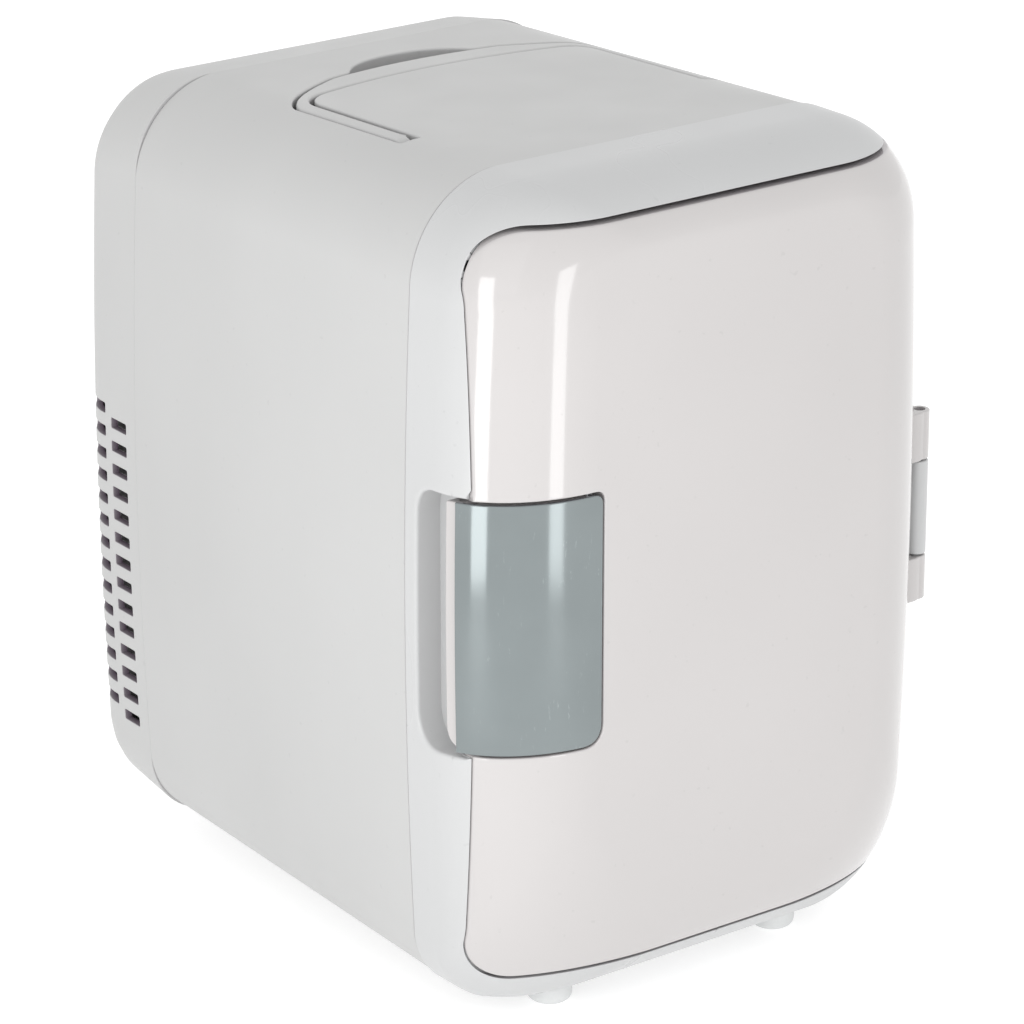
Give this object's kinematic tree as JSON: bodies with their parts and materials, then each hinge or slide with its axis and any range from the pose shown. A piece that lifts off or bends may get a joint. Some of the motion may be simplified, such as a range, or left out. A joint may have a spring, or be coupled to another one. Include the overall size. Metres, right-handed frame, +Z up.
{
  "type": "mini fridge",
  "caption": "Small thermoelectric fridge: tapered white cabinet, curved front door with silver finger latch, folding carry handle, vented rear cover",
  "frame": {"origin": "middle of the footprint, on the floor under the feet", "axes": "+X to the viewer's right, +Y from the door to the rear cover, +Z up"},
  "size_m": [0.184, 0.223, 0.262],
  "materials": {
    "shell_white": "satin white moulding",
    "frame_white": "semi-gloss white moulding",
    "door_white": "glossy warm white moulding",
    "latch_silver": "silver-grey lacquer",
    "liner_grey": "pale grey moulding",
    "foam": "white foam",
    "rubber": "pale rubber",
    "aluminium": "bare extrusion",
    "steel": "zinc-plated",
    "ceramic": "ceramic module",
    "black": "black moulding",
    "board": "lacquered board",
    "coil": "taped winding",
    "red_lens": "clear red",
    "green_lens": "clear green"
  },
  "bodies": {
    "cabinet": {"front_frame": "frame_white", "outer_shell": "shell_white", "rear_cover": "shell_white", "foot_front_left": "rubber", "foot_front_right": "rubber", "foot_rear_left": "rubber", "foot_rear_right": "rubber", "handle_pin_left": "steel", "handle_pin_right": "steel", "inner_liner": "liner_grey", "foam_insulation": "foam", "shelf": "liner_grey", "cold_plate": "aluminium", "peltier_module": "ceramic", "hot_heatsink": "aluminium", "fan_frame": "black", "fan_screw_1": "steel", "fan_screw_2": "steel", "fan_screw_3": "steel", "fan_screw_4": "steel", "cover_screw_1": "steel", "cover_screw_2": "steel", "cover_screw_3": "steel", "cover_screw_4": "steel", "mains_inlet": "black", "mains_contact_left": "steel", "mains_contact_right": "steel", "low_voltage_inlet": "black", "low_voltage_contact": "steel", "switch_housing": "black", "lamp_heating": "red_lens", "lamp_cooling": "green_lens", "power_board": "board", "transformer": "coil", "input_capacitor": "black", "output_capacitor": "black", "hinge_pin": "steel"},
    "door": {"door_panel": "door_white", "door_foam": "foam", "door_liner": "liner_grey", "door_gasket": "rubber", "door_rail": "liner_grey", "latch_pin": "steel"},
    "latch": {"latch_lever": "door_white", "latch_plate": "latch_silver"},
    "carry_handle": {"carry_handle": "shell_white"},
    "fan": {"fan_rotor": "black"},
    "mode_switch": {"mode_rocker": "black"}
  },
  "joints": [
    {"name": "door_hinge", "type": "hinge", "parent": "cabinet", "child": "door", "pos_m": [0.0888, -0.0893, 0.1325], "axis": [0, 0, 1], "range_deg": [0, 115]},
    {"name": "latch_pivot", "type": "hinge", "parent": "door", "child": "latch", "pos_m": [-0.0545, -0.1075, 0.1325], "axis": [0, 0, 1], "range_deg": [0, 9], "stiffness_Nm_per_rad": 0.3},
    {"name": "handle_pivot", "type": "hinge", "parent": "cabinet", "child": "carry_handle", "pos_m": [-0.0015, -0.0225, 0.2555], "axis": [1, 0, 0], "range_deg": [0, 90]},
    {"name": "fan_spin", "type": "hinge", "parent": "cabinet", "child": "fan", "pos_m": [-0.004, 0.089, 0.1385], "axis": [0, 1, 0], "continuous": true},
    {"name": "mode_rocker_tilt", "type": "hinge", "parent": "cabinet", "child": "mode_switch", "pos_m": [-0.004, 0.1081, 0.0405], "axis": [0, 0, 1], "range_deg": [-10, 10]}
  ]
}
